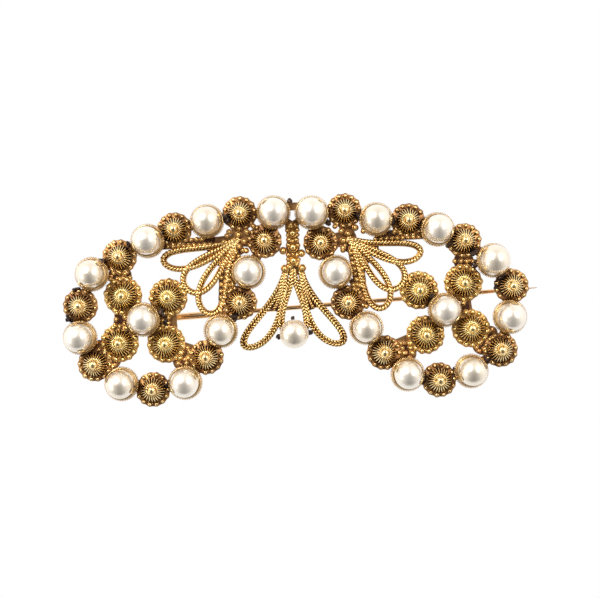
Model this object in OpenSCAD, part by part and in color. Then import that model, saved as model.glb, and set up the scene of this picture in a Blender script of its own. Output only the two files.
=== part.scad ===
// Pearl and cannetille wing brooch with a hinged pin and a hook catch.
// X runs along the brooch, +Z is up as it is worn and the front faces -Y.
// The origin lies in the flat back plane, midway between the two wings.

/* [Pearls] */
// Diameter of each pearl
pearl_d = 4.6; // [4.2:0.1:4.7]
// Diameter of the gold peg that each pearl is glued on
peg_d = 0.7; // [0.5:0.1:1]

/* [Rosettes] */
// Diameter of the base plate of a rosette in the rings
ring_rosette_d = 5.7; // [5:0.1:5.7]
// Diameter of the base plate of a rosette in the flowers
flower_rosette_d = 6.3; // [5.6:0.1:6.3]
// Height of the wire cone of a rosette above its base plate
rosette_h = 1.8; // [1.2:0.1:2.4]
// Diameter of the polished bead on top of a rosette
bead_d = 1.6; // [1:0.1:1.8]

/* [Back frame] */
// Thickness of the flat back frame
frame_t = 0.5; // [0.4:0.1:0.8]
// Width of the ribbons of the back frame
ribbon_w = 1.6; // [1.2:0.1:2]

/* [Fans] */
// Width of the twisted wire that the fans are bent from
rope_w = 1.1; // [0.8:0.1:1.2]
// Thickness of the twisted wire, front to back
rope_t = 0.65; // [0.5:0.05:0.7]

/* [Pin] */
// Length of the pin from the hinge axis to its point
pin_l = 61.5; // [60.5:0.5:62.5]
// Diameter of the straight part of the pin
pin_d = 0.8; // [0.7:0.05:0.9]
// Distance of the pin's axis behind the back plane
pin_gap = 4.75; // [4.6:0.05:6]
// Slope of the pin towards its point, in degrees
pin_slope = 3; // [2.8:0.1:3.2]

/* [Hinge] */
// Outside diameter of the hinge tubes
tube_d = 2.2; // [2:0.1:2.6]
// Diameter of the hinge rivet
rivet_d = 1; // [0.8:0.1:1.2]
// Radial play of the rivet in the pin's tube
rivet_play = 0.05; // [0.02:0.01:0.09]
// Length of each fixed knuckle
knuckle_l = 1.5; // [1.2:0.1:2]
// Length of the pin's own tube
barrel_l = 2.2; // [1.8:0.1:2.6]

/* [Catch] */
// Distance from the hinge axis to the middle of the catch
catch_at = 56; // [55:0.5:56.5]
// Width of the catch along the pin
catch_w = 2.2; // [1.6:0.1:2.6]
// Thickness of the catch's strip
catch_t = 0.4; // [0.3:0.05:0.5]
// Inside radius of the catch's curl
catch_r = 0.55; // [0.5:0.05:0.7]

/* [Hidden] */
$fn = 48;

pearl_r = pearl_d / 2;
ring_r = ring_rosette_d / 2;
flower_r = flower_rosette_d / 2;
bead_r = bead_d / 2;
pin_r = pin_d / 2;

// heights above the back plane, towards the front
seat_h = frame_t;            // everything stands on the frame's front face
foot_h = 0.7;                // foot of a collet
foot_r = 1.7;
floor_t = 0.2;               // floor of a collet's cup
wall_t = 0.25;               // wall of a collet's cup
wall_h = 0.9;
cup_r = pearl_r + 0.2 + wall_t;
pearl_h = seat_h + foot_h + floor_t + pearl_r;
claw_arc = 24;               // degrees of the rim that a claw covers
claw_over = 30;              // degrees that a claw reaches over the pearl's equator
claw_t = 0.15;
claw_gap = 0.04;
plate_h = 0.6;               // base plate of a rosette
seat_inset = 0.35;           // the frame's seats stop this far inside the rosettes' plates
pearl_seat = 2.2;            // radius of the frame's seat under a pearl's cup

// Places of the settings as [x, z], going round each wing from the top middle.
// Pearls and rosettes alternate, starting with a pearl.
left_ring = [
    [-3.0, 14.4], [-8.5, 14.45], [-13.8, 13.3], [-19.15, 12.15], [-23.5, 10.4], [-28.2, 8.0],
    [-32.7, 5.3], [-34.8, 0.2], [-34.9, -4.9], [-32.7, -9.3], [-28.4, -12.6], [-23.4, -13.7],
    [-18.1, -12.7], [-14.6, -8.7], [-12.1, -4.5], [-8.9, 0.0], [-7.35, 4.9], [-4.6, 9.9]];
right_ring = [
    [3.2, 14.2], [8.5, 14.4], [13.6, 12.8], [18.8, 12.5], [23.5, 10.9], [27.8, 9.0],
    [32.4, 5.6], [35.3, 1.4], [34.8, -3.6], [33.2, -8.9], [28.3, -12.2], [23.1, -13.5],
    [18.0, -12.4], [14.3, -8.8], [11.5, -4.7], [8.7, -0.5], [6.8, 4.5], [4.5, 9.3]];
// Each flower is a pearl and the four rosettes round it.
left_flower = [[-24.6, -2.3], [-27.85, 1.65], [-20.5, 1.15], [-28.6, -6.0], [-21.05, -6.35]];
right_flower = [[24.3, -2.2], [27.5, 2.1], [20.25, 1.15], [28.5, -5.3], [21.1, -6.1]];
drop_at = [-0.2, -5.3];
drop_foot_r = 1.3;
prong_angles = [2, 95, 188];
prong_arc = 22;

// Extra seats of the frame, under the granulated joints, as [x, z, radius].
left_joints = [[-8.8, 10.4, 1.4], [-28.3, 4.9, 1.9], [-30.2, -8.6, 1.7], [-32.0, -6.5, 1.1],
               [-18.3, -9.2, 1.8]];
right_joints = [[9.0, 10.0, 1.4], [27.7, 5.7, 1.6], [30.4, -8.0, 1.7], [31.8, -6.1, 1.1],
                [17.8, -9.0, 1.8]];
// Granules standing on those seats, as [x, z, radius].
left_granules = [[-29.7, 4.9, 0.4], [-29.5, -9.5, 0.38], [-32.4, -5.9, 0.4], [-18.0, -9.0, 0.5],
                 [-17.55, -7.2, 0.4], [-18.9, -9.8, 0.4]];
right_granules = [[27.3, 5.7, 0.4], [28.6, 5.7, 0.4], [29.75, -9.0, 0.45], [32.1, -5.6, 0.4],
                  [17.75, -9.0, 0.5], [17.6, -7.4, 0.4], [18.4, -9.7, 0.4]];
// Ribbons between the flower, the joints and the ring, as [end, end, width].
left_links = [[left_flower[1], left_ring[5], ribbon_w], [left_flower[3], left_ring[9], ribbon_w],
              [left_flower[4], left_ring[13], 2.4], [left_flower[1], left_flower[3], ribbon_w],
              [left_flower[2], left_flower[4], ribbon_w], [left_ring[1], [-8.8, 10.4], 2.4],
              [[-8.8, 10.4], left_ring[17], 2.4], [[-22, 9.7], [-13, 10], 1.5],
              [[-8.8, 10.4], [-13, 10], 1.5], [[-9.4, 9.5], [-11.3, -0.8], 1.8],
              [[-9.3, 9.5], [-8.4, 7.8], 1.7]];
right_links = [[right_flower[1], right_ring[5], ribbon_w], [right_flower[3], right_ring[9], ribbon_w],
               [right_flower[4], right_ring[13], 2.4], [right_flower[1], right_flower[3], ribbon_w],
               [right_ring[1], [9.0, 10.0], 2.4], [[9.0, 10.0], right_ring[17], 2.4],
               [[13.5, 10.2], [21.5, 10.3], 1.7], [[9.6, 9.2], [11.2, -1], 1.8],
               [[9.3, 9.3], [8.6, 7.8], 1.7]];

// Wire loops as [root, tip, half width, bend, start of the opening as a share of the length],
// all measured on the middle line of the wire.
left_loops = [[[-8.8, 10.4], [-21.1, 7.2], 1.25, 0.9, 0.4],
              [[-8.8, 10.4], [-17.4, 2.5], 2.0, 0, 0.1],
              [[-8.8, 10.4], [-14.1, -1.6], 1.8, -0.9, 0.38]];
right_loops = [[[9.0, 10.0], [20.7, 7.4], 1.25, -0.9, 0.4],
               [[9.0, 10.0], [17.4, 2.1], 2.0, 0, 0.1],
               [[9.0, 10.0], [14.3, -1.5], 1.7, 0.7, 0.38]];
plume_loops = [[[-1.3, 5.2], [-8.3, -7.1], 1.4, 1.4, 0.45],
               [[-0.1, 5.2], [-0.2, -5.8], 1.8, 0, 0.12],
               [[1.2, 5.1], [7.6, -6.9], 1.4, -1.4, 0.45]];
plume_bar = [[-1.5, 5.0], [1.3, 5.0]];      // short bar that joins the roots of the plume
plume_balls = [[-1.4, 5.4, 0.5], [1.2, 5.4, 0.5]];

// Granules of the stem as [x, z, radius], and the stem's ends.
stem_ends = [[0, 12.4], [-0.1, 6.4]];
stem_w = 2.2;
stem_balls = [[-0.3, 12.2, 0.5], [0, 11.0, 0.55], [-0.6, 9.9, 0.35], [0.6, 9.9, 0.35], [0, 8.7, 0.6],
              [-1.6, 8.2, 0.45], [1.35, 7.7, 0.45], [-0.05, 6.5, 0.6]];
ball_seat = 0.5;
left_root_balls = [[-8.8, 10.6, 0.6], [-7.8, 10.3, 0.35], [-9.6, 11.3, 0.35]];
right_root_balls = [[9.0, 10.2, 0.6], [8.0, 9.9, 0.35], [9.7, 10.9, 0.35]];
fan_root_r = 1.35;

// hinge and pin
hinge_at = [-21.0, -2.2];
hinge_pad = [3.4, 6.2];
leg_w = tube_d;
end_play = 0.1;              // gap between a knuckle and the pin's tube
stem_start = tube_d / 2 + 0.05;
swell_r = 0.6;               // the pin is thicker where it leaves its tube
swell_l = 8;
swell_end = 14;
point_l = 9.5;                 // length of the sharpened end
point_r = 0.06;
catch_lip = 60;              // degrees that the curl goes on past the pin's back

function place(list, first) = [for (i = [first:2:len(list) - 1]) list[i]];
function names(stem, count) = [for (i = [1:count]) str(stem, "_", i)];

left_pearls = place(left_ring, 0);
right_pearls = place(right_ring, 0);
left_rosettes = place(left_ring, 1);
right_rosettes = place(right_ring, 1);
left_flower_rosettes = [for (i = [1:4]) left_flower[i]];
right_flower_rosettes = [for (i = [1:4]) right_flower[i]];

// Turns a shape drawn flat, with its front upwards, so that its front faces -Y.
module upright() { rotate([90, 0, 0]) children(); }

// Moves a shape to a place on the back plane, at a height towards the front.
module at(place, height) { upright() translate([place.x, place.y, height]) children(); }

// ---- settings ----

module pearl(place) {
    color("ivory") at(place, pearl_h) difference() {
        sphere(r = pearl_r);
        translate([0, 0, -pearl_r - 1]) cylinder(d = peg_d, h = pearl_r + 1);
    }
}

module collet(place, heading) {
    wall_top = foot_h + floor_t + wall_h;
    cup = [[0, 0], [foot_r, 0], [foot_r, foot_h], [cup_r, foot_h], [cup_r, wall_top],
           [cup_r - wall_t, wall_top], [cup_r - wall_t, foot_h + floor_t], [0, foot_h + floor_t]];
    middle = foot_h + floor_t + pearl_r;
    bends = [0, claw_over / 2, claw_over];
    inner = pearl_r + claw_gap;
    claw = concat([[cup_r - wall_t, wall_top - 0.2], [cup_r, wall_top - 0.2]],
                  [for (a = bends) [0, middle] + (inner + claw_t) * [cos(a), sin(a)]],
                  [for (a = [claw_over, claw_over / 2, 0])
                      [0, middle] + inner / cos(claw_over / 4) * [cos(a), sin(a)]]);
    color("goldenrod") at(place, seat_h) {
        rotate_extrude() polygon(cup);
        cylinder(d = peg_d, h = foot_h + floor_t + pearl_r * 0.8);
        for (side = [0, 180])
            rotate([0, 0, heading + side - claw_arc / 2])
                rotate_extrude(angle = claw_arc) polygon(claw);
    }
}

// Direction of the ring at one of its settings, from the setting before to the one after.
function heading(ring, i) =
    let (n = len(ring), a = ring[(i + n - 1) % n], b = ring[(i + 1) % n])
    atan2(b.y - a.y, b.x - a.x);

module pearl_collets() {
    for (ring = [left_ring, right_ring], i = [0:2:len(ring) - 1]) collet(ring[i], heading(ring, i));
    collet(left_flower[0], 40);
    collet(right_flower[0], -40);
    drop_setting();
}

// The drop pearl has no cup: three prongs hold it from a small foot.
module drop_setting() {
    prong = [[1, 0.7], [2.5, 0.75], [2.75, 1], [2.75, 2.3], [2.45, 2.9], [2.3, 2.9], [2.5, 2.2],
             [2.5, 1.1], [2.3, 0.9], [1, 0.9]];
    color("goldenrod") at(drop_at, seat_h) {
        cylinder(r = drop_foot_r, h = foot_h + floor_t);
        cylinder(d = peg_d, h = foot_h + floor_t + pearl_r * 0.8);
        for (a = prong_angles) rotate([0, 0, a - prong_arc / 2])
            rotate_extrude(angle = prong_arc) polygon(prong);
    }
}

module rosette(place, radius) {
    top = plate_h + rosette_h;
    profile = [[0, 0], [radius, 0], [radius, plate_h - 0.1], [radius * 0.67, plate_h],
               [radius * 0.66, plate_h + 0.3], [radius * 0.3, top], [0, top]];
    color("darkgoldenrod") at(place, seat_h) {
        rotate_extrude() polygon(profile);
        translate([0, 0, top + bead_r * 0.35]) sphere(r = bead_r);
    }
}

// ---- frame ----

module ribbon(a, b, width) {
    translate(a) rotate([0, 0, atan2(b.y - a.y, b.x - a.x)])
        translate([0, -width / 2]) square([norm(b - a), width]);
}

module seat(place, radius) { translate([place.x, place.y]) circle(r = radius); }

module seats(places, radius) { for (p = places) seat(p, radius); }

module granules(balls, height) {
    for (b = balls) translate([b.x, b.y, height + b.z * 0.6]) sphere(r = b.z);
}

module wing_plan(ring, flower, joints, links) {
    n = len(ring);
    for (i = [0:n - 1]) {
        ribbon(ring[i], ring[(i + 1) % n], ribbon_w);
        seat(ring[i], i % 2 == 0 ? pearl_seat : ring_r - seat_inset);
    }
    for (i = [1:4]) {
        ribbon(flower[0], flower[i], ribbon_w);
        seat(flower[i], flower_r - seat_inset);
    }
    seat(flower[0], pearl_seat);
    for (j = joints) seat(j, j.z);
    for (l = links) ribbon(l[0], l[1], l[2]);
}

module left_frame() {
    color("darkgoldenrod") upright() {
        linear_extrude(frame_t) {
            wing_plan(left_ring, left_flower, left_joints, left_links);
            // bar between the two uppermost pearls
            difference() {
                ribbon([-2.4, 15.5], [2.4, 15.3], 1.3);
                seat(right_ring[0], pearl_seat);
            }
            translate(hinge_at) rotate([0, 0, pin_slope]) square(hinge_pad, center = true);
        }
        granules(left_granules, frame_t);
    }
}

module right_frame() {
    color("darkgoldenrod") upright() {
        linear_extrude(frame_t) wing_plan(right_ring, right_flower, right_joints, right_links);
        granules(right_granules, frame_t);
    }
}

module centre_frame() {
    color("darkgoldenrod") upright() linear_extrude(frame_t) difference() {
        union() {
            for (p = [left_ring[0], right_ring[0]]) ribbon(p, stem_ends[0], 1.1);
            ribbon(stem_ends[0], [-0.1, 4.8], ribbon_w);
            ribbon(plume_bar[0], plume_bar[1], ribbon_w);
        }
        seat(left_ring[0], pearl_seat);
        seat(right_ring[0], pearl_seat);
    }
}

// ---- wire fans ----

// Outline of a drop-shaped loop with a narrow root, a round tip and a bend along its length.
function drop(root, tip, half, bend, neck) =
    let (d = tip - root, side = [-d.y, d.x] / norm(d))
    [for (t = [0:10:360])
        let (along = (1 - cos(t)) / 2, swell = sin(t) * pow(sin(t / 2), 2) / 0.65)
        let (across = half * swell + neck * cos(t / 2) + bend * 4 * along * (1 - along))
        root + d * along + side * across];

module loop_plan(loop) {
    root = loop[0];
    d = loop[1] - root;
    u = d / norm(d);
    side = [-u.y, u.x];
    half = loop[2];
    bend = loop[3];
    start = loop[4];
    over = u * rope_w / 2;
    open_root = root + d * start + side * bend * 4 * start * (1 - start);
    difference() {
        polygon(drop(root, loop[1] + over, half + rope_w / 2, bend, rope_w / 2));
        polygon(drop(open_root, loop[1] - over, half - rope_w / 2, bend * pow(1 - start, 2), 0.02));
    }
}

// The loops and the root of a fan, cut back where a rosette's plate stands beside them.
module fan_plan(loops, root, ring_places, flower_places) {
    difference() {
        union() {
            for (l = loops) loop_plan(l);
            seat(root, fan_root_r);
        }
        seats(ring_places, ring_r + 0.02);
        seats(flower_places, flower_r + 0.02);
    }
}

module left_fan() {
    color("goldenrod") at([0, 0], seat_h) {
        linear_extrude(rope_t)
            fan_plan(left_loops, left_joints[0], left_rosettes, left_flower_rosettes);
        granules(left_root_balls, rope_t);
    }
}

module right_fan() {
    color("goldenrod") at([0, 0], seat_h) {
        linear_extrude(rope_t)
            fan_plan(right_loops, right_joints[0], right_rosettes, right_flower_rosettes);
        granules(right_root_balls, rope_t);
    }
}

module centre_plume() {
    color("goldenrod") at([0, 0], seat_h) {
        linear_extrude(rope_t) difference() {
            union() {
                for (l = plume_loops) loop_plan(l);
                ribbon(plume_bar[0], plume_bar[1], rope_w);
                seats(plume_balls, ball_seat);
            }
            seat(drop_at, drop_foot_r + 0.02);
            seat(stem_ends[1], stem_w / 2 + 0.02);
        }
        granules(plume_balls, rope_t);
    }
}

module centre_stem() {
    color("gold") at([0, 0], seat_h) {
        linear_extrude(rope_t) {
            ribbon(stem_ends[0], stem_ends[1], stem_w);
            seat(stem_ends[1], stem_w / 2);
            seats(stem_balls, ball_seat);
        }
        granules(stem_balls, rope_t);
    }
}

// ---- hinge, pin and catch ----

// Frame of the pin: X along the pin from the hinge axis, Y upwards across it, Z to the front.
module on_pin() {
    upright() translate([hinge_at.x, hinge_at.y, -pin_gap]) rotate([0, 0, pin_slope]) children();
}

module hinge_knuckles() {
    first = barrel_l / 2 + end_play;
    color("goldenrod") on_pin() {
        translate([-hinge_pad.x / 2, -hinge_pad.y / 2, pin_gap - 0.4])
            cube([hinge_pad.x, hinge_pad.y, 0.4]);
        for (side = [-1, 1]) difference() {
            union() {
                translate([0, side * (first + knuckle_l / 2), 0]) rotate([90, 0, 0])
                    cylinder(d = tube_d, h = knuckle_l, center = true);
                translate([-leg_w / 2, side * (first + knuckle_l / 2) - knuckle_l / 2, 0])
                    cube([leg_w, knuckle_l, pin_gap - 0.2]);
            }
            rotate([90, 0, 0]) cylinder(d = rivet_d, h = 20, center = true);
        }
    }
}

module hinge_rivet() {
    half = barrel_l / 2 + end_play + knuckle_l;
    color("gold") on_pin() rotate([90, 0, 0]) {
        cylinder(d = rivet_d, h = 2 * half, center = true);
        for (side = [-1, 1]) translate([0, 0, side * (half + 0.15)])
            cylinder(d = rivet_d + 0.6, h = 0.3, center = true);
    }
}

module pin_barrel() {
    color("peru") on_pin() rotate([90, 0, 0]) difference() {
        cylinder(d = tube_d, h = barrel_l, center = true);
        cylinder(d = rivet_d + 2 * rivet_play, h = barrel_l + 1, center = true);
    }
}

module pin_stem() {
    straight_end = pin_l - point_l;
    profile = [[0, stem_start], [swell_r, stem_start], [swell_r, swell_l],
               [pin_r, swell_end], [pin_r, straight_end], [point_r, pin_l], [0, pin_l]];
    color("peru") on_pin() rotate([0, 90, 0]) rotate_extrude() polygon(profile);
}

module catch_hook() {
    outer = catch_r + catch_t;
    color("goldenrod") on_pin() translate([catch_at - catch_w / 2, 0, 0]) {
        // curl round the back of the pin, open downwards
        rotate([0, 90, 0]) rotate([0, 0, -catch_lip]) rotate_extrude(angle = 90 + catch_lip)
            translate([catch_r, 0]) square([catch_t, catch_w]);
        translate([0, catch_r, 0]) cube([catch_w, catch_t, pin_gap]);
        translate([0, -0.9, pin_gap - 0.3]) cube([catch_w, 0.9 + outer, 0.3]);
    }
}

for (i = [1:9]) {
    pearl(left_pearls[i - 1]);
    pearl(right_pearls[i - 1]);
    rosette(left_rosettes[i - 1], ring_r);
    rosette(right_rosettes[i - 1], ring_r);
}
for (i = [1:4]) {
    rosette(left_flower[i], flower_r);
    rosette(right_flower[i], flower_r);
}
pearl(left_flower[0]);  // left_flower_pearl
pearl(right_flower[0]);  // right_flower_pearl
pearl(drop_at);  // drop_pearl
pearl_collets();
left_frame();
right_frame();
centre_frame();
left_fan();
right_fan();
centre_plume();
centre_stem();
hinge_knuckles();
hinge_rivet();
pin_barrel();
pin_stem();
catch_hook();
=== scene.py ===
"""Looks of the pearl and cannetille brooch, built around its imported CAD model."""
import math

import bpy
import numpy as np
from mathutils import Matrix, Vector


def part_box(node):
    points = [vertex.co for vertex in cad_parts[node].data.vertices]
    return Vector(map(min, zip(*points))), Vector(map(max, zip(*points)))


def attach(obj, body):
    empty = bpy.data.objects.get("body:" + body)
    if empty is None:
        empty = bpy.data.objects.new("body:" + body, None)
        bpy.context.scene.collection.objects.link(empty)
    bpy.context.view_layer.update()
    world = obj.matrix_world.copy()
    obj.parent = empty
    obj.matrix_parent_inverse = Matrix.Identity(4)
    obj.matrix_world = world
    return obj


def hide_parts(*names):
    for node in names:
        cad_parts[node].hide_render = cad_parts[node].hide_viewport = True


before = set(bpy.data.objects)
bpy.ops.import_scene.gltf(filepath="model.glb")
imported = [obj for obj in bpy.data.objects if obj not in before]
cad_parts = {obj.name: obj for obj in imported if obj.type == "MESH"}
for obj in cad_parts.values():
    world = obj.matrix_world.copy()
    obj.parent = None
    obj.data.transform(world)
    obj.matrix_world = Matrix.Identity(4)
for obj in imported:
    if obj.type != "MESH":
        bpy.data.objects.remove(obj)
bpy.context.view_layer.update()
rng = np.random.default_rng(7)

# Shapes are drawn in brooch coordinates, in millimetres: x to the right, z up, and
# h towards the front, from the flat back plane.
MM = 0.001
SEAT = 0.5            # front face of the back frame
UP = np.array([0.0, 0.0, 1.0])


# ---------------------------------------------------------------- mesh tools

class Shape:
    """Gathers the parts of one piece, each vertex with its share of darkening: painted shade in
    recesses and on undersides, and tarnish.
    """

    def __init__(self):
        self.points, self.grime, self.quads, self.tris, self.count = [], [], [], [], 0

    def add(self, points, quads=None, tris=None, grime=0.0):
        points = np.asarray(points, float).reshape(-1, 3)
        self.points.append(points)
        self.grime.append(np.broadcast_to(np.asarray(grime, float), (len(points),)))
        for faces, store in ((quads, self.quads), (tris, self.tris)):
            if faces is not None and len(faces):
                store.append(np.asarray(faces, np.int64) + self.count)
        self.count += len(points)

    def make(self, name, material, body, slot, nodes=(), sharp=None):
        """Makes the piece; sharp is the angle from which its edges stay sharp."""
        p = np.concatenate(self.points)
        co = np.stack([p[:, 0], -p[:, 2], p[:, 1]], 1) * MM
        mesh = bpy.data.meshes.new(name)
        quads = np.concatenate(self.quads) if self.quads else np.zeros((0, 4), np.int64)
        tris = np.concatenate(self.tris) if self.tris else np.zeros((0, 3), np.int64)
        loops = np.concatenate([quads.ravel(), tris.ravel()]).astype(np.int32)
        sizes = np.concatenate([np.full(len(quads), 4), np.full(len(tris), 3)])
        starts = np.concatenate([[0], np.cumsum(sizes)[:-1]]).astype(np.int32)
        mesh.vertices.add(len(co))
        mesh.vertices.foreach_set("co", co.astype(np.float32).ravel())
        mesh.loops.add(len(loops))
        mesh.loops.foreach_set("vertex_index", loops)
        mesh.polygons.add(len(sizes))
        mesh.polygons.foreach_set("loop_start", starts)
        mesh.polygons.foreach_set("use_smooth", np.ones(len(sizes), bool))
        mesh.update(calc_edges=True)
        mesh.validate()
        # per-vertex darkening for the gold: painted shade in recesses and on undersides, and
        # tarnish
        grime = mesh.attributes.new("grime", "FLOAT", "POINT")
        grime.data.foreach_set("value", np.concatenate(self.grime).astype(np.float32))
        if sharp:
            mesh.set_sharp_from_angle(angle=math.radians(sharp))
        piece = bpy.data.objects.new(name, mesh)
        bpy.context.scene.collection.objects.link(piece)
        mesh.materials.append(material)
        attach(piece, body)
        if nodes:
            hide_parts(*nodes)


def grid(rings, sides, closed_u=False, closed_v=True):
    """Quads of a grid of rings by sides."""
    u = np.arange(rings if closed_u else rings - 1)
    v = np.arange(sides if closed_v else sides - 1)
    a, b = np.meshgrid(u, v, indexing="ij")
    a2, b2 = (a + 1) % rings, (b + 1) % sides
    corners = [a * sides + b, a * sides + b2, a2 * sides + b2, a2 * sides + b]
    return np.stack(corners, -1).reshape(-1, 4)


def unit(v):
    """Vectors of length one."""
    return v / np.maximum(np.linalg.norm(v, axis=-1, keepdims=True), 1e-9)


def tube(shape, path, radius, sides, closed, side, grime, inner=0.0):
    """A round wire along a path.

    side is a vector across the path, or one for each point; inner is extra painted shade on the
    face of the wire that looks away from it.
    """
    path = np.asarray(path, float)
    if closed:
        along = unit(np.roll(path, -1, 0) - np.roll(path, 1, 0))
    else:
        along = unit(np.gradient(path, axis=0))
    a = unit(np.cross(along, np.broadcast_to(side, path.shape)))
    b = np.cross(a, along)
    turn = np.arange(sides) * 2 * math.pi / sides
    radius = np.broadcast_to(np.asarray(radius, float), (len(path),))
    ring = (path[:, None] + radius[:, None, None] * (
        np.cos(turn)[None, :, None] * a[:, None] + np.sin(turn)[None, :, None] * b[:, None]))
    points = ring.reshape(-1, 3)
    quads = grid(len(path), sides, closed)
    tones = np.broadcast_to(np.asarray(grime, float), (len(path),))[:, None]
    tones = (tones + inner * (0.5 - 0.5 * np.sin(turn)) ** 2).ravel()
    tris = None
    if not closed:
        n = len(points)
        points = np.concatenate([points, path[:1] - along[:1] * radius[0] * 0.5,
                                 path[-1:] + along[-1:] * radius[-1] * 0.5])
        tones = np.concatenate([tones, tones[:1], tones[-1:]])
        k = np.arange(sides)
        first = np.stack([np.full(sides, n), (k + 1) % sides, k], 1)
        last_ring = n - sides
        last = np.stack([np.full(sides, n + 1), last_ring + k, last_ring + (k + 1) % sides], 1)
        tris = np.concatenate([first, last])
    shape.add(points, quads, tris, tones)


def lathe(shape, profile, centre, sides, grime, wobble=None):
    """Turns a profile of [radius, height] about h; ends with radius 0 are closed.

    wobble scales the radius at each of the sides.
    """
    profile = np.asarray(profile, float)
    turn = np.arange(sides) * 2 * math.pi / sides
    tones = np.broadcast_to(np.asarray(grime, float), (len(profile),))
    closed_start, closed_end = profile[0, 0] < 1e-6, profile[-1, 0] < 1e-6
    kept = slice(int(closed_start), len(profile) - int(closed_end))
    core, core_tones = profile[kept], tones[kept]
    r = core[:, :1] * (1 if wobble is None else wobble[None, :])
    points = np.stack([r * np.cos(turn), r * np.sin(turn),
                       np.broadcast_to(core[:, 1:], (len(core), sides))], -1).reshape(-1, 3)
    quads = grid(len(core), sides)
    tris, extra, extra_tones = [], [], []
    k = np.arange(sides)
    if closed_start:
        extra.append([0, 0, profile[0, 1]])
        extra_tones.append(tones[0])
        tris.append(np.stack([np.full(sides, len(points)), (k + 1) % sides, k], 1))
    if closed_end:
        tip = len(points) + len(extra)
        last = (len(core) - 1) * sides
        extra.append([0, 0, profile[-1, 1]])
        extra_tones.append(tones[-1])
        tris.append(np.stack([np.full(sides, tip), last + k, last + (k + 1) % sides], 1))
    if extra:
        points = np.concatenate([points, extra])
    tones = np.concatenate([np.repeat(core_tones, sides), extra_tones])
    tris = np.concatenate(tris) if tris else None
    shape.add(points + np.asarray(centre, float), quads, tris, tones)


def ball(shape, centre, radius, sides, rings, grime, wobble=None):
    t = np.linspace(-math.pi / 2, math.pi / 2, rings + 1)
    profile = np.stack([np.cos(t) * radius, np.sin(t) * radius], 1)
    profile[[0, -1], 0] = 0
    lathe(shape, profile, centre, sides, grime, wobble)


def hoop(shape, centre, radius, wire, sides, section, grime):
    """A ring of round wire lying flat."""
    t = np.arange(sides) * 2 * math.pi / sides
    path = np.stack([np.cos(t) * radius, np.sin(t) * radius, np.zeros(sides)], 1)
    tube(shape, path + np.asarray(centre, float), wire, section, True, UP, grime)


def granule(shape, centre, radius, grime, base=None):
    """A granule sitting in a small ring of wire, on a little disc if it has a base height."""
    x, z, h = centre
    ball(shape, (x, z, h + radius * 0.35), radius, 12, 8, grime)
    # the ring at the granule's foot and the disc under it are darker, painted shade
    hoop(shape, (x, z, h + radius * 0.05), radius * 1.3, radius * 0.24, 16, 5, grime + 0.35)
    if base is not None:
        r = radius * 1.45
        disc = [[0, base], [r, base], [r * 1.02, h - 0.05], [r * 0.9, h], [0, h]]
        lathe(shape, disc, (x, z, 0), 14, 0.6)


def along_path(path, step):
    """The same path with points at an even step, their distances along it and its length."""
    path = np.asarray(path, float)
    run = np.concatenate([[0], np.cumsum(np.linalg.norm(np.diff(path, axis=0), axis=1))])
    n = max(4, int(round(run[-1] / step)))
    s = np.linspace(0, run[-1], n + 1)
    return np.stack([np.interp(s, run, path[:, i]) for i in range(3)], 1), s, run[-1]


def rope(shape, path, radius, pitch, grime, phase, hand):
    """Two round wires twisted together along a path that lies roughly flat."""
    path, s, _ = along_path(path, pitch / 8)
    along = unit(np.gradient(path, axis=0))
    across = unit(np.cross(along, UP))
    over = np.cross(across, along)
    lay = radius * 0.5
    wire = radius - lay
    for k in range(2):
        turn = hand * 2 * math.pi * s / pitch + math.pi * k + phase
        out = np.cos(turn)[:, None] * across + np.sin(turn)[:, None] * over
        low = 0.5 - 0.5 * np.sin(turn)
        # each wire is darker where it passes low and on its face towards the other wire,
        # painted shade
        tube(shape, path + out * lay, wire * 1.04, 6, False, out, grime + 0.6 * low ** 1.5, 1.6)


def band(shape, path, width, high, grime):
    """A flat strip along a flat path, from the frame's front face to the height high."""
    path = np.asarray(path, float)
    half = np.broadcast_to(np.asarray(width, float) / 2, (len(path),))[:, None]
    across = unit(np.cross(unit(np.gradient(path, axis=0)), UP)) * half
    corners = np.stack([path + across, path - across, path - across, path + across], 1)
    corners[:, :2, 2] = high
    corners[:, 2:, 2] = SEAT
    n = (len(path) - 1) * 4
    ends = [[0, 2, 1], [0, 3, 2], [n, n + 1, n + 2], [n, n + 2, n + 3]]
    shape.add(corners.reshape(-1, 3), grid(len(path), 4), ends, grime)


# ---------------------------------------------------------------- materials

def new_material(name):
    material = bpy.data.materials.new(name)
    material.use_nodes = True
    tree = material.node_tree
    return material, tree, tree.nodes["Principled BSDF"]


def noise(tree, place, scale, detail):
    node = tree.nodes.new("ShaderNodeTexNoise")
    node.inputs["Scale"].default_value = scale
    node.inputs["Detail"].default_value = detail
    node.inputs["Roughness"].default_value = 0.55
    tree.links.new(place, node.inputs["Vector"])
    return node.outputs["Fac"]


def calc(tree, kind, a, b, clamp=False):
    """A math node; a and b are numbers or sockets."""
    node = tree.nodes.new("ShaderNodeMath")
    node.operation = kind
    node.use_clamp = clamp
    for value, socket in ((a, node.inputs[0]), (b, node.inputs[1])):
        if isinstance(value, (int, float)):
            socket.default_value = value
        else:
            tree.links.new(value, socket)
    return node.outputs[0]


def ramp(tree, factor, stops):
    """A colour ramp with stops of [position, colour]."""
    node = tree.nodes.new("ShaderNodeValToRGB")
    elements = node.color_ramp.elements
    while len(elements) < len(stops):
        elements.new(0.5)
    for element, (at, colour) in zip(elements, stops):
        element.position = at
        element.color = (*colour, 1)
    tree.links.new(factor, node.inputs[0])
    return node.outputs[0]


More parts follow.
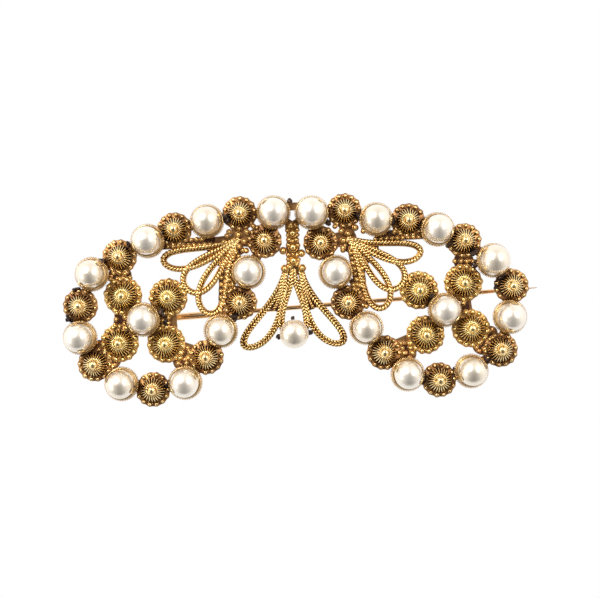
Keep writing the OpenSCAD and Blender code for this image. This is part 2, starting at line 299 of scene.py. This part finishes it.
def gold(name, bright, mid, deep, shift=0.0, smooth=0.2, worn=0.5, patches=0.5, bump=0.15,
         metal=1.0):
    """Gold that darkens towards tarnish colours where the piece's per-vertex darkening is high:
    painted shade in recesses and on undersides, together with tarnish.

    shift adds that darkening everywhere and patches sets how uneven it is; the roughness goes
    from smooth to worn as it darkens.
    """
    material, tree, shader = new_material(name)
    place = tree.nodes.new("ShaderNodeTexCoord").outputs["Object"]
    # the pieces' painted shade and tarnish, read per vertex
    grime = tree.nodes.new("ShaderNodeAttribute")
    grime.attribute_name = "grime"
    cloud = noise(tree, place, 260.0, 3.0)
    fine = noise(tree, place, 3000.0, 4.0)
    total = grime.outputs["Fac"]
    for cover in (cloud, fine):
        uneven = calc(tree, "MULTIPLY", calc(tree, "SUBTRACT", cover, 0.5), patches * 1.6)
        total = calc(tree, "ADD", total, uneven)
    total = calc(tree, "ADD", total, shift, True)
    colour = ramp(tree, total, [(0.0, bright), (0.45, mid), (1.0, deep)])
    tree.links.new(colour, shader.inputs["Base Color"])
    rough = calc(tree, "ADD", calc(tree, "MULTIPLY", total, worn - smooth), smooth, True)
    tree.links.new(rough, shader.inputs["Roughness"])
    shader.inputs["Metallic"].default_value = metal
    dents = tree.nodes.new("ShaderNodeBump")
    dents.inputs["Strength"].default_value = bump
    dents.inputs["Distance"].default_value = 0.00004
    tree.links.new(fine, dents.inputs["Height"])
    tree.links.new(dents.outputs["Normal"], shader.inputs["Normal"])
    return material


def pearl_material(name, cream, metal):
    material, tree, shader = new_material(name)
    place = tree.nodes.new("ShaderNodeTexCoord").outputs["Object"]
    cloud = noise(tree, place, 420.0, 2.0)
    pale = tuple(min(1, c * 1.06) for c in cream)
    tree.links.new(ramp(tree, cloud, [(0.3, cream), (0.7, pale)]), shader.inputs["Base Color"])
    fine = noise(tree, place, 1100.0, 3.0)
    rough = calc(tree, "ADD", calc(tree, "MULTIPLY", fine, 0.10), 0.27)
    tree.links.new(rough, shader.inputs["Roughness"])
    shader.inputs["Metallic"].default_value = metal
    shader.inputs["Specular IOR Level"].default_value = 0.9
    shader.inputs["IOR"].default_value = 1.6
    shader.inputs["Coat Weight"].default_value = 0.6
    shader.inputs["Coat Roughness"].default_value = 0.16
    shader.inputs["Coat IOR"].default_value = 1.6
    return material


BRIGHT, DEEP, RED_DEEP = (1.0, 0.76, 0.38), (0.09, 0.035, 0.022), (0.18, 0.07, 0.04)
ring_gold = gold("ring rosette gold", BRIGHT, (0.56, 0.30, 0.11), (0.06, 0.025, 0.02),
                 shift=0.02, patches=0.6)
flower_gold = gold("flower rosette gold", (1.0, 0.79, 0.36), (0.74, 0.44, 0.15),
                   (0.11, 0.045, 0.025), shift=-0.04, patches=0.6)
wire_gold = gold("twisted wire gold", (1.0, 0.76, 0.34), (0.66, 0.38, 0.13),
                 (0.08, 0.03, 0.018), shift=0.06)
milled_gold = gold("milled wire gold", (0.92, 0.68, 0.34), (0.60, 0.34, 0.13), RED_DEEP,
                   patches=0.4)
cup_gold = gold("polished cup gold", (0.98, 0.76, 0.43), (0.78, 0.50, 0.21), DEEP,
                shift=-0.05, smooth=0.16, worn=0.4, patches=0.3, bump=0.03, metal=0.8)
# a darker gold for the back frame and the strips beneath the wires; its darkening is painted
# shade
frame_gold = gold("back frame gold", (0.75, 0.45, 0.19), (0.42, 0.20, 0.08),
                  (0.08, 0.034, 0.022), shift=0.3, smooth=0.3, patches=0.7)
fitting_gold = gold("fitting gold", (0.95, 0.70, 0.38), (0.72, 0.46, 0.21), DEEP,
                    shift=0.05, smooth=0.18, worn=0.4, patches=0.3, bump=0.05)
pin_metal = gold("pin metal", (1.0, 0.70, 0.40), (0.80, 0.46, 0.20), DEEP,
                 smooth=0.16, worn=0.35, patches=0.3, bump=0.05)
solder = gold("tarnished solder", (0.20, 0.13, 0.09), (0.085, 0.06, 0.05),
              (0.02, 0.015, 0.016), shift=0.25, smooth=0.4, worn=0.7, patches=0.9, bump=0.6)
pearls = [pearl_material("pearl cream", (0.90, 0.81, 0.68), 0.72),
          pearl_material("pearl white", (0.92, 0.85, 0.75), 0.66)]


# ---------------------------------------------------------------- settings

def spot(node):
    """Middle of a node in x and z, and its lowest and highest h."""
    low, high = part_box(node)
    return np.array([(low.x + high.x) / 2, (low.z + high.z) / 2, -high.y, -low.y]) / MM


def pearl(name, node, material, grow=1.0):
    x, z, low, high = spot(node)
    sides = 64
    turn = np.arange(sides) * 2 * math.pi / sides
    # a pearl is never quite round
    wobble = (1 + 0.006 * np.cos(2 * turn + rng.uniform(0, 6))
              + 0.004 * np.cos(3 * turn + rng.uniform(0, 6)))
    shape = Shape()
    ball(shape, (x, z, (low + high) / 2), (high - low) / 2 * grow, sides, 32, 0.0, wobble)
    shape.make(name, material, "ornament", "pearl", [node])


PLATE_TOP = 0.42      # height of the plate's front above its back
CONE_SHARE = 0.66     # radius of the cone as a share of the plate's
CAP = 0.68            # radius of the cone's top, under the bead
COIL_WIRE = 0.098     # radii of the cone's wire and of the bead
BEAD = 0.75


def rosette(name, node, material, slot, flower):
    """A round plate with a cone of wound wire, a bead in a cup and granules round the edge."""
    x, z, base, high = spot(node)
    lo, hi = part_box(node)
    radius = (hi.x - lo.x) / 2 / MM
    shape = Shape()
    # a plate with a scalloped edge; its front is darker towards the middle under the cone,
    # painted shade
    scallops = 15 if flower else 14
    first = rng.uniform(0, 6)
    turn = np.arange(scallops * 10) * 2 * math.pi / (scallops * 10)
    scallop = 1 - 0.035 * np.sin(scallops * (turn - first) / 2) ** 2
    plate = [[0, 0], [radius * 0.97, 0], [radius, 0.08], [radius, 0.34],
             [radius * 0.97, PLATE_TOP], [0, PLATE_TOP]]
    lathe(shape, plate, (x, z, base), len(turn), [0.9, 0.8, 0.6, 0.5, 0.62, 1.1], scallop)
    # granules round the edge, wherever no cup or other cone stands in the way
    size = 0.34 if flower else 0.3
    for k in range(scallops):
        a = first + k * 2 * math.pi / scallops
        r = radius - size * 1.4
        place = np.array([x + r * math.cos(a), z + r * math.sin(a)])
        if open_at(place, node):
            granule(shape, (*place, base + 0.47), size * rng.uniform(0.85, 1.08), 0.1)
    # the cone under the wires, darkened as painted shade between the wires
    cone = radius * CONE_SHARE
    top = (high - base) - 1.32
    core = [[cone, 0.4], [cone * 0.97, 0.6], [CAP * 1.1, top - 0.12], [CAP * 0.6, top]]
    lathe(shape, core, (x, z, base), 48, [1.35, 1.35, 1.3, 1.2])
    # one wire wound round and round the cone; the lower strand of each winding is darker,
    # painted shade
    turns = 27 if flower else 25
    n = turns * 14
    t = np.arange(n) * 2 * math.pi / n
    wind = turns * t + 0.3 * np.sin(5 * t + first)
    inner, outer = CAP + 0.05, cone + 0.12
    r = (inner + outer) / 2 - (outer - inner) / 2 * np.cos(wind)
    rise = (r - inner) / (outer - inner)
    h = top * (1 - rise ** 1.35) + 0.66 * rise + 0.22 * np.sin(wind)
    ease = 0.03 * np.sin(wind)
    path = np.stack([x + r * np.cos(t + ease), z + r * np.sin(t + ease), base + h], 1)
    winding_shade = 1.1 * np.clip(0.2 - np.sin(wind), 0, 1)
    tube(shape, path, COIL_WIRE, 6, True, UP, winding_shade - 0.12)
    # cup and bead
    hoop(shape, (x, z, base + top + 0.02), CAP + 0.02, 0.11, 32, 6, 0.15)
    ball(shape, (x, z, high - BEAD - 0.01), BEAD, 28, 16, -0.2)
    shape.make(name, material, "ornament", slot, [node])


# Where the cups and the rosettes stand.
CUP = 2.78            # radius of a cup at its milled wire
WALL = 2.52           # outside radius of a cup's wall
RING_CONE, FLOWER_CONE = 1.9, 2.2
ring_nodes, cup_places, cone_places = {}, [], {}
for side in ("left", "right"):
    ring_nodes[side] = []
    for i in range(1, 10):
        ring_nodes[side] += [f"{side}_pearl_{i}", f"{side}_rosette_{i}"]
        cup_places.append(spot(f"{side}_pearl_{i}")[:2])
        cone_places[f"{side}_rosette_{i}"] = (spot(f"{side}_rosette_{i}")[:2], RING_CONE)
    cup_places.append(spot(f"{side}_flower_pearl")[:2])
    for i in range(1, 5):
        node = f"{side}_flower_rosette_{i}"
        cone_places[node] = (spot(node)[:2], FLOWER_CONE)


def open_at(place, own=None, room=0.2):
    """True where neither a cup nor the cone of another rosette covers the place."""
    if any(np.linalg.norm(place - c) < CUP + room for c in cup_places):
        return False
    return all(key == own or np.linalg.norm(place - c) > r + room + 0.15
               for key, (c, r) in cone_places.items())


# The pearls that are larger or smaller than the others.
sizes = {"right_pearl_4": 1.07, "right_pearl_1": 1.03, "left_pearl_4": 0.98,
         "left_pearl_8": 0.98, "right_pearl_9": 0.97}
for side in ("left", "right"):
    for i in range(1, 10):
        node = f"{side}_pearl_{i}"
        pearl(f"pearl_{side}_{i}", node, pearls[i % 2], sizes.get(node, 1.0))
        rosette(f"rosette_{side}_{i}", f"{side}_rosette_{i}", ring_gold, "rosette_gold", False)
    pearl(f"pearl_{side}_flower", f"{side}_flower_pearl", pearls[1])
    for i in range(1, 5):
        rosette(f"rosette_{side}_flower_{i}", f"{side}_flower_rosette_{i}", flower_gold,
                "flower_gold", True)
pearl("pearl_drop", "drop_pearl", pearls[0], 1.02)

# Collets: a shallow polished cup with a milled wire round it and claws on two sides. Each
# has its place and the heading of its claws, which lie along the ring.
settings = []
for ring in ring_nodes.values():
    for i in range(0, 18, 2):
        before, here, after = (spot(ring[j % 18])[:2] for j in (i - 1, i, i + 1))
        d = after - before
        settings.append((here, math.atan2(d[1], d[0])))
settings.append((spot("left_flower_pearl")[:2], math.radians(40)))
settings.append((spot("right_flower_pearl")[:2], math.radians(-40)))

PEARL_MIDDLE = 3.7    # height of the pearls' middle
CLAW_REACH = 2.43     # radius of the bent part of a claw, just over the pearl


def cup(shape, x, z):
    """Foot, ledge, thin upright wall and a flat floor inside it."""
    profile = [[0, SEAT], [1.62, SEAT], [1.7, SEAT + 0.08], [1.7, 1.18], [CUP - 0.2, 1.2],
               [CUP - 0.14, 1.26], [WALL, 1.34], [WALL, 2.24], [WALL - 0.03, 2.3],
               [WALL - 0.1, 2.3], [WALL - 0.14, 2.24], [WALL - 0.16, 1.6],
               [WALL - 0.3, 1.42], [0.36, 1.4], [0, 1.4]]
    # the foot and the ledge under the milled wire are darkened as painted shade; the wall and
    # the floor inside stay bright
    cup_shade = [0.8, 0.8, 0.8, 0.9, 1.2, 1.2, 1.2, 0, 0, 0, 0, 0, 0, 0.1, 0.1]
    lathe(shape, profile, (x, z, 0), 56, cup_shade)


def milling(shape, x, z, count=60):
    """A ring of short upright beads round the foot of the wall, and a fine wire on it."""
    profile = ((2.48, 1.62), (2.6, 1.64), (2.72, 1.55), (2.78, 1.4), (2.76, 1.24))
    for k in range(count):
        a = k * 2 * math.pi / count
        c, s = math.cos(a), math.sin(a)
        bead = [[x + r * c, z + r * s, h] for r, h in profile]
        # each bead darkens towards its foot, painted shade
        tube(shape, bead, 0.088, 5, False, np.array([-s, c, 0.0]), [0.5, 0.25, 0.2, 0.4, 0.8])
    hoop(shape, (x, z, 1.78), WALL + 0.03, 0.06, 64, 5, 0.15)


def claw(shape, x, z, heading):
    """A thin sheet that rises from the wall and bends over the pearl."""
    rows, cols = 11, 7
    u = np.linspace(0, 1, rows)[:, None]
    v = np.linspace(-1, 1, cols)[None, :]
    angle = heading + v * math.radians(12) * (1 + 0.1 * u)
    bend = np.clip((u - 0.5) / 0.5, 0, 1) * math.radians(28)
    foot, foot_h = WALL - 0.04, 2.0
    straight = u < 0.5
    radius = np.where(straight, foot - (foot - CLAW_REACH) * u * 2, CLAW_REACH * np.cos(bend))
    height = np.where(straight, foot_h + (PEARL_MIDDLE - foot_h) * u * 2,
                      PEARL_MIDDLE + CLAW_REACH * np.sin(bend)) - 0.1 * v ** 2 * u
    faces = []
    for off, lift in ((0.06, 0.03), (-0.05, -0.03)):
        r = radius + off
        faces.append(np.stack([r * np.cos(angle), r * np.sin(angle), height + lift * u], -1))
    sheet = grid(rows, cols, False, False)
    n = rows * cols
    edge = [(r, 0) for r in range(rows)] + [(rows - 1, c) for c in range(1, cols)]
    edge += [(r, cols - 1) for r in range(rows - 2, -1, -1)]
    ids = [r * cols + c for r, c in edge]
    walls = np.array([[a, b, b + n, a + n] for a, b in zip(ids, ids[1:])])
    points = np.concatenate([face.reshape(-1, 3) for face in faces]) + [x, z, 0]
    shape.add(points, np.concatenate([sheet, (sheet + n)[:, ::-1], walls]), None, 0.1)


cups, milled, claws, lumps = Shape(), Shape(), Shape(), Shape()
for (x, z), heading in settings:
    cup(cups, x, z)
    milling(milled, x, z)
    claw(claws, x, z, heading)
    claw(claws, x, z, heading + math.pi)
for shape, name, material, sharp in ((cups, "collet_cups", cup_gold, 40),
                                     (milled, "collet_milled_wires", milled_gold, None),
                                     (claws, "collet_claws", cup_gold, 50)):
    shape.make(name, material, "ornament", "collet_gold", ["pearl_collets"], sharp)


def lump(shape, centre, size, seed):
    """An uneven blob of old solder."""
    local = np.random.default_rng(seed)
    rows, cols = 9, 12
    a = np.linspace(0, math.pi, rows)[1:-1, None]
    b = np.arange(cols)[None, :] * 2 * math.pi / cols
    d = np.stack([np.sin(a) * np.cos(b), np.sin(a) * np.sin(b), np.cos(a) + 0 * b], -1)
    w = local.normal(size=(4, 3)) * 2.2
    swell = 1 + 0.13 * sum(np.sin(d @ k + local.uniform(0, 6)) for k in w)
    points = (d * swell[..., None] * np.asarray(size)).reshape(-1, 3)
    n = len(points)
    points = np.concatenate([points, [[0, 0, size[2]], [0, 0, -size[2]]]])
    k = np.arange(cols)
    tris = np.concatenate([np.stack([np.full(cols, n), k, (k + 1) % cols], 1),
                           np.stack([np.full(cols, n + 1), (rows - 3) * cols + (k + 1) % cols,
                                     (rows - 3) * cols + k], 1)])
    shape.add(points + np.asarray(centre, float), grid(rows - 2, cols)[:, ::-1], tris, 0.3)


# Blackened solder at the joints, as x, z, height and half sizes.
solder_places = [
    (-21.4, 11.7, 1.5, 0.5, 0.6, 0.5), (-20.5, 10.3, 1.0, 0.7, 0.5, 0.35),
    (-10.9, 13.9, 1.6, 0.9, 0.9, 0.5), (-30.9, 7.3, 1.7, 0.55, 0.5, 0.5),
    (-36.6, -1.9, 1.2, 0.6, 0.6, 0.45), (-35.3, 3.0, 1.3, 0.7, 0.4, 0.4),
    (-21.5, -1.2, 1.7, 0.6, 0.8, 0.5), (-20.9, -2.9, 1.2, 0.5, 0.8, 0.5),
    (-9.6, -2.4, 1.6, 0.75, 0.6, 0.5), (-0.2, 16.4, 1.3, 0.5, 0.45, 0.4),
    (-26.6, 9.8, 1.5, 0.35, 0.6, 0.45), (-26.3, -12.9, 1.2, 0.5, 1.1, 0.4),
    (-20.6, -13.2, 1.2, 0.5, 1.1, 0.4), (-27.4, -4.2, 1.3, 0.7, 0.3, 0.3),
    (-13.2, -6.6, 1.2, 0.6, 0.4, 0.4), (5.9, 12.6, 1.5, 0.7, 0.6, 0.5),
    (10.9, 13.6, 1.4, 0.5, 0.9, 0.5), (16.3, 12.4, 1.6, 0.6, 0.9, 0.5),
    (16.0, 10.7, 1.0, 0.5, 0.5, 0.3), (20.9, 11.4, 1.2, 0.4, 0.8, 0.4),
    (30.0, 5.2, 1.3, 0.9, 0.7, 0.4), (29.5, 7.0, 1.4, 0.7, 0.8, 0.4),
    (33.6, 3.1, 1.5, 0.9, 0.6, 0.5), (32.9, 1.7, 1.1, 0.6, 0.7, 0.4),
    (21.8, -0.1, 1.7, 0.7, 0.6, 0.5), (10.0, -2.9, 1.6, 0.6, 0.5, 0.5),
    (20.6, -13.2, 1.2, 0.5, 1.2, 0.4), (25.6, -12.7, 1.2, 0.5, 1.2, 0.4),
    (31.0, -10.6, 1.1, 0.6, 0.9, 0.4), (25.4, 8.9, 1.3, 0.7, 0.8, 0.4)]
for i, (x, z, h, sx, sz, sh) in enumerate(solder_places):
    for k, (ox, oz) in enumerate(rng.normal(size=(5, 2)) * 0.38):
        middle = (x + ox * sx, z + oz * sz, h - 0.1 * k)
        lump(lumps, middle, (sx * 0.55, sz * 0.55, sh * 0.6), 10 * i + k)
lumps.make("solder_lumps", solder, "ornament", "collet_gold")

# The drop pearl has a foot and three dark prongs and no cup.
prongs = Shape()
dx, dz = spot("drop_pearl")[:2]
foot = [[0, SEAT], [1.25, SEAT], [1.3, SEAT + 0.1], [1.3, 1.3], [1.1, 1.4], [0, 1.4]]
lathe(prongs, foot, (dx, dz, 0), 40, 0.6)
# each prong is a row of lumps: distance from the pearl's middle, height and half size
prong = ((1.5, 1.45, 0.32), (2.1, 1.6, 0.34), (2.48, 2.1, 0.36), (2.6, 2.7, 0.4),
         (2.45, 3.15, 0.33))
for angle, grow in ((4, 1.1), (94, 0.8), (188, 1.0)):
    a = math.radians(angle)
    for r, h, size in prong:
        middle = (dx + r * math.cos(a), dz + r * math.sin(a), h)
        lump(prongs, middle, (size * grow, size * grow, 0.42), int(angle + h * 9))
prongs.make("drop_prongs", solder, "ornament", "collet_gold", ["pearl_collets"])


# ---------------------------------------------------------------- wire fans

ROPE = 1.1            # width of the twisted wire


def track(loop, inset, height):
    """A curve that runs round a drop-shaped loop, inset from the loop's outer outline."""
    root, tip = np.array(loop[0], float), np.array(loop[1], float)
    half, bend = loop[2:]
    length = np.linalg.norm(tip - root)
    u = (tip - root) / length
    side = np.array([-u[1], u[0]])
    t = np.radians(np.linspace(0, 360, 145))
    reach = length + ROPE / 2
    along = reach * (1 - np.cos(t)) / 2
    across = ((half + ROPE / 2) * np.sin(t) * np.sin(t / 2) ** 2 / 0.65
              + ROPE / 2 * np.cos(t / 2))
    # the inside of the loop is to the right of the way round
    way = unit(np.stack([np.gradient(along), np.gradient(across)], 1))
    along = along + way[:, 1] * inset
    across = across - way[:, 0] * inset
    # the two strands lie side by side at the root
    near = 0.26 if inset > ROPE / 2 else 0.0
    sign = np.where(t < math.pi, 1, -1)
    across = sign * np.maximum(across * sign, near)
    share = np.clip(along / reach, 0, 1)
    across = across + bend * 4 * share * (1 - share)
    flat = (root + along[:, None] * u + across[:, None] * side)[along > 0.0]
    return np.concatenate([flat, np.full((len(flat), 1), height)], 1)


# The loops as root, tip, half width and bend, as in the CAD.
left_loops = [[[-8.8, 10.4], [-21.1, 7.2], 1.25, 0.9], [[-8.8, 10.4], [-17.4, 2.5], 2.0, 0],
              [[-8.8, 10.4], [-14.1, -1.6], 1.8, -0.9]]
right_loops = [[[9.0, 10.0], [20.7, 7.4], 1.25, -0.9], [[9.0, 10.0], [17.4, 2.1], 2.0, 0],
               [[9.0, 10.0], [14.3, -1.5], 1.7, 0.7]]
plume_loops = [[[-1.3, 5.2], [-8.3, -7.1], 1.4, 1.4], [[-0.1, 5.2], [-0.2, -5.8], 1.8, 0],
               [[1.2, 5.1], [7.6, -6.9], 1.4, -1.4]]


def fan(name, loops, starts, node, granules, height, double):
    """Loops of twisted wire on flat strips, with granules over their roots.

    starts holds the share of each loop's length at which its strands part. A double loop
    has two twisted wires side by side, the others one with a plain wire inside it.
    """
    base, wires = Shape(), Shape()
    for k, (loop, start) in enumerate(zip(loops, starts)):
        lift = 0.05 if k == 1 else 0.0
        if double:
            for inset, hand in ((0.31, 1), (0.86, -1)):
                rope(wires, track(loop, inset, 0.9 + lift), 0.32, 1.05, 0.05, k, hand)
        else:
            rope(wires, track(loop, 0.42, 0.92 + lift), 0.44, 1.05, 0.03, k, 1)
            middle, _, _ = along_path(track(loop, 0.95, 0.84), 0.2)
            tube(wires, middle, 0.11, 6, False, UP, 0.35)
        middle, _, _ = along_path(track(loop, 0.55, 0.0), 0.3)
        # the strip under the loop is darkened, painted shade between its wires
        band(base, middle, 0.98, 0.8 + lift / 2, 0.7)
        if start > 0.3:
            # the two strands are soldered to a middle one before they part
            root, tip = np.array(loop[0]), np.array(loop[1])
            d = tip - root
            side = np.array([-d[1], d[0]]) / np.linalg.norm(d)
            t = np.linspace(0.06, start + 0.03, 24)[:, None]
            line = root + d * t + side * loop[3] * 4 * t * (1 - t)
            strand = np.concatenate([line, np.full((24, 1), 0.86)], 1)
            rope(wires, strand, 0.3, 0.9, 0.15, k, -1)
            wide = 0.35 + 1.1 * np.linspace(0, 1, 24) ** 1.5 * (loop[2] / 1.4)
            # its strip is darkened too, painted shade under the wires
            band(base, strand, wide, 0.82, 0.8)
    for x, z, r in granules:
        granule(wires, (x, z, height), r, 0.08, SEAT)
    base.make(name + "_backing", frame_gold, "ornament", "wire_gold", [node], 40)
    wires.make(name + "_wires", wire_gold, "ornament", "wire_gold", [node])


left_root = [
    (-8.8, 11.0, 0.36), (-10.3, 11.5, 0.32), (-7.4, 11.4, 0.34), (-7.9, 9.95, 0.36),
    (-8.7, 9.1, 0.3), (-7.6, 8.4, 0.32), (-10.7, 10.9, 0.27), (-6.3, 12.3, 0.3),
    (-9.3, 8.1, 0.28), (-9.8, 7.4, 0.28), (-9.4, 10.2, 0.25), (-11.3, 10.0, 0.25)]
right_root = [
    (9.0, 10.7, 0.36), (10.2, 11.6, 0.36), (7.9, 11.1, 0.34), (8.2, 9.6, 0.36),
    (8.1, 8.4, 0.32), (6.9, 11.9, 0.28), (11.5, 11.0, 0.3), (9.5, 8.3, 0.28),
    (10.1, 7.5, 0.28), (9.7, 9.6, 0.25)]
plume_root = [(-1.45, 5.3, 0.42), (1.4, 5.3, 0.42), (-0.6, 5.5, 0.3), (0.6, 5.9, 0.28)]
fan("fan_left", left_loops, (0.4, 0.1, 0.38), "left_fan", left_root, 1.25, False)
fan("fan_right", right_loops, (0.4, 0.1, 0.38), "right_fan", right_root, 1.25, False)
fan("plume", plume_loops, (0.45, 0.12, 0.45), "centre_plume", plume_root, 1.3, True)

# The granulated stem between the wings.
stem = Shape()
stem_path, _, _ = along_path([[-0.1, 12.9, 0], [0.0, 9.5, 0], [-0.1, 5.6, 0]], 0.25)
stem_width = 2.0 + 0.25 * np.sin(np.linspace(0, 14, len(stem_path)))
# the stem's strip is darkened, painted shade under its granules
band(stem, stem_path, stem_width, 1.05, 0.75)
stem_granules = [
    (-0.3, 12.2, 0.45), (0, 11.0, 0.52), (0, 8.7, 0.56), (0, 6.55, 0.56), (-1.6, 8.2, 0.42),
    (1.35, 7.7, 0.42), (-0.65, 10.0, 0.3), (0.6, 9.9, 0.3), (-0.75, 9.1, 0.27),
    (0.8, 9.0, 0.27), (-0.75, 7.5, 0.3), (0.65, 7.5, 0.3), (-0.85, 11.5, 0.25),
    (0.8, 11.5, 0.25), (-0.8, 10.7, 0.22), (0.8, 10.7, 0.22), (0, 9.75, 0.25),
    (-0.05, 7.6, 0.24), (0.45, 12.3, 0.27), (-0.85, 6.8, 0.24), (0.85, 6.7, 0.24),
    (-0.8, 6.15, 0.22), (0.75, 6.2, 0.22)]
for x, z, r in stem_granules:
    granule(stem, (x, z, 1.12 + 0.1 * (r > 0.4)), r, 0.08, SEAT)
stem.make("stem_granules", wire_gold, "ornament", "wire_gold", ["centre_stem"], 60)

# Granulated strips over the joints: the strips themselves and their granules.
knots, pads = Shape(), Shape()


def strip(a, b, width, rows, size=0.3, room=0.15):
    """A raised strip between two places, set with rows of granules of the given size.

    room is the room that the granules leave to the cups and cones beside them.
    """
    a, b = np.array(a, float), np.array(b, float)
    d = unit(b - a)
    side = np.array([-d[1], d[0]])
    path, s, length = along_path([[*a, 0], [*b, 0]], 0.3)
    # the strip is darkened, painted shade under its granules
    band(pads, path, width * (1 + 0.06 * np.sin(s * 5)), 0.9, 0.7)
    n = max(1, int(round(length / (size * 3.3))))
    for row in range(rows):
        across = (row - (rows - 1) / 2) * (width - 2.2 * size) / max(1, rows - 1)
        for k in range(n + 1 - row % 2):
            place = a + d * length * (k + 0.5 * (row % 2)) / n + side * across
            if open_at(place, None, room):
                granule(knots, (*place, 0.97), size * rng.uniform(0.85, 1.1), 0.1, SEAT)


strip((-11.6, 6.2), (-12.0, -1.2), 0.9, 1)
strip((-10.2, 3.6), (-10.8, 1.8), 1.6, 2)
strip((11.0, 6.0), (11.6, -1.2), 0.9, 1)
strip((9.6, 3.4), (10.4, 1.6), 1.6, 2)
strip((-22.0, 9.8), (-12.6, 10.1), 1.5, 2, 0.27)
strip((13.4, 10.2), (21.4, 10.3), 1.6, 2, 0.27)
strip((-28.2, -1.2), (-28.5, -3.3), 2.1, 2)
strip((27.4, -1.2), (27.8, -2.6), 1.6, 1)
strip((-29.8, 4.9), (-26.6, 5.0), 1.5, 2, 0.28)
strip((26.2, 5.7), (29.2, 5.6), 1.4, 1, 0.3)
strip((-31.8, -7.0), (-29.4, -9.4), 1.8, 2)
strip((31.9, -6.1), (29.8, -8.8), 1.8, 2)
strip((-17.6, -7.2), (-18.6, -9.8), 1.9, 2)
strip((17.6, -7.2), (18.4, -9.6), 1.9, 2)
strip((-9.3, 9.5), (-8.4, 7.8), 1.7, 2, 0.28)
strip((9.3, 9.3), (8.6, 7.8), 1.7, 2, 0.28)
strip((9.7, 8.4), (10.7, 1.6), 1.3, 2, 0.25, -0.1)
strip((-9.9, 8.2), (-10.9, 2.6), 1.3, 2, 0.25, -0.1)
strip((-21.0, -1.7), (-21.1, -3.4), 1.5, 2, 0.27)
strip((-27.3, 4.4), (-27.4, 5.2), 1.0, 1, 0.3)
knots.make("joint_granules", wire_gold, "ornament", "wire_gold")
pads.make("joint_strips", frame_gold, "ornament", "wire_gold", (), 40)


# ---------------------------------------------------------------- CAD nodes that stay

for material, nodes in ((frame_gold, ("left_frame", "right_frame", "centre_frame")),
                        (fitting_gold, ("hinge_knuckles", "hinge_rivet", "catch_hook")),
                        (pin_metal, ("pin_barrel", "pin_stem"))):
    for node in nodes:
        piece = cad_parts[node]
        piece.data.materials.clear()
        piece.data.materials.append(material)


# ---------------------------------------------------------------- stage, lights, camera

scene = bpy.context.scene
scene.view_settings.view_transform = "Standard"
scene.view_settings.look = "None"

# A plain floor just behind the brooch, which is clear when it is seen from behind.
FLOOR_Y = 0.0068
floor_mesh = bpy.data.meshes.new("floor")
corners = [(x, FLOOR_Y, z) for x, z in ((-1, -1), (1, -1), (1, 1), (-1, 1))]
floor_mesh.from_pydata(corners, [], [(0, 1, 2, 3)])
floor = bpy.data.objects.new("floor", floor_mesh)
scene.collection.objects.link(floor)
pale = bpy.data.materials.new("pale floor")
pale.use_nodes = True
tree = pale.node_tree
tree.nodes.remove(tree.nodes["Principled BSDF"])
glow = tree.nodes.new("ShaderNodeEmission")
glow.inputs["Color"].default_value = (1, 1, 1, 1)
glow.inputs["Strength"].default_value = 1.0
clear = tree.nodes.new("ShaderNodeBsdfTransparent")
which = tree.nodes.new("ShaderNodeNewGeometry")
mix = tree.nodes.new("ShaderNodeMixShader")
tree.links.new(which.outputs["Backfacing"], mix.inputs[0])
tree.links.new(glow.outputs[0], mix.inputs[1])
tree.links.new(clear.outputs[0], mix.inputs[2])
tree.links.new(mix.outputs[0], tree.nodes["Material Output"].inputs["Surface"])
floor_mesh.materials.append(pale)

# A dim room that is brighter to both sides, above and behind, for the metal to mirror.
world = bpy.data.worlds.new("studio")
scene.world = world
world.use_nodes = True
sky = world.node_tree
back = sky.nodes["Background"]
split = sky.nodes.new("ShaderNodeSeparateXYZ")
sky.links.new(sky.nodes.new("ShaderNodeTexCoord").outputs["Generated"], split.inputs[0])
sideways = calc(sky, "MULTIPLY", split.outputs["X"], split.outputs["X"])
above = calc(sky, "MAXIMUM", split.outputs["Z"], 0.0)
behind = calc(sky, "MAXIMUM", split.outputs["Y"], 0.0)
glare = calc(sky, "MULTIPLY", sideways, 1.15)
for part, weight in ((above, 0.75), (behind, 0.5)):
    glare = calc(sky, "ADD", glare, calc(sky, "MULTIPLY", part, weight))
glare = calc(sky, "ADD", glare, 0.10)
sky.links.new(glare, back.inputs["Strength"])
back.inputs["Color"].default_value = (1.0, 0.96, 0.91, 1)


def area(name, place, size, power):
    """A rectangular light that looks at the middle of the brooch."""
    data = bpy.data.lights.new(name, "AREA")
    data.shape = "RECTANGLE"
    data.size, data.size_y = size
    data.energy = power
    light = bpy.data.objects.new(name, data)
    light.location = place
    light.rotation_mode = "QUATERNION"
    light.rotation_quaternion = (-Vector(place)).to_track_quat("-Z", "Y")
    scene.collection.objects.link(light)


area("key", (-0.17, -0.27, 0.19), (0.15, 0.15), 0.85)
area("side", (0.20, -0.24, 0.10), (0.06, 0.20), 0.32)
area("fill", (-0.30, -0.12, -0.06), (0.10, 0.22), 0.12)
area("rear", (0.0, 0.35, 0.25), (0.4, 0.3), 0.5)

camera_data = bpy.data.cameras.new("camera")
camera_data.sensor_width = 36.0
camera_data.lens = 80.9
camera_data.clip_start, camera_data.clip_end = 0.01, 10.0
camera = bpy.data.objects.new("camera", camera_data)
scene.collection.objects.link(camera)
camera.location = (0.00089, -0.220, 0.00029)
camera.rotation_mode = "XYZ"
camera.rotation_euler = (math.pi / 2, math.radians(1.7), 0)
scene.camera = camera
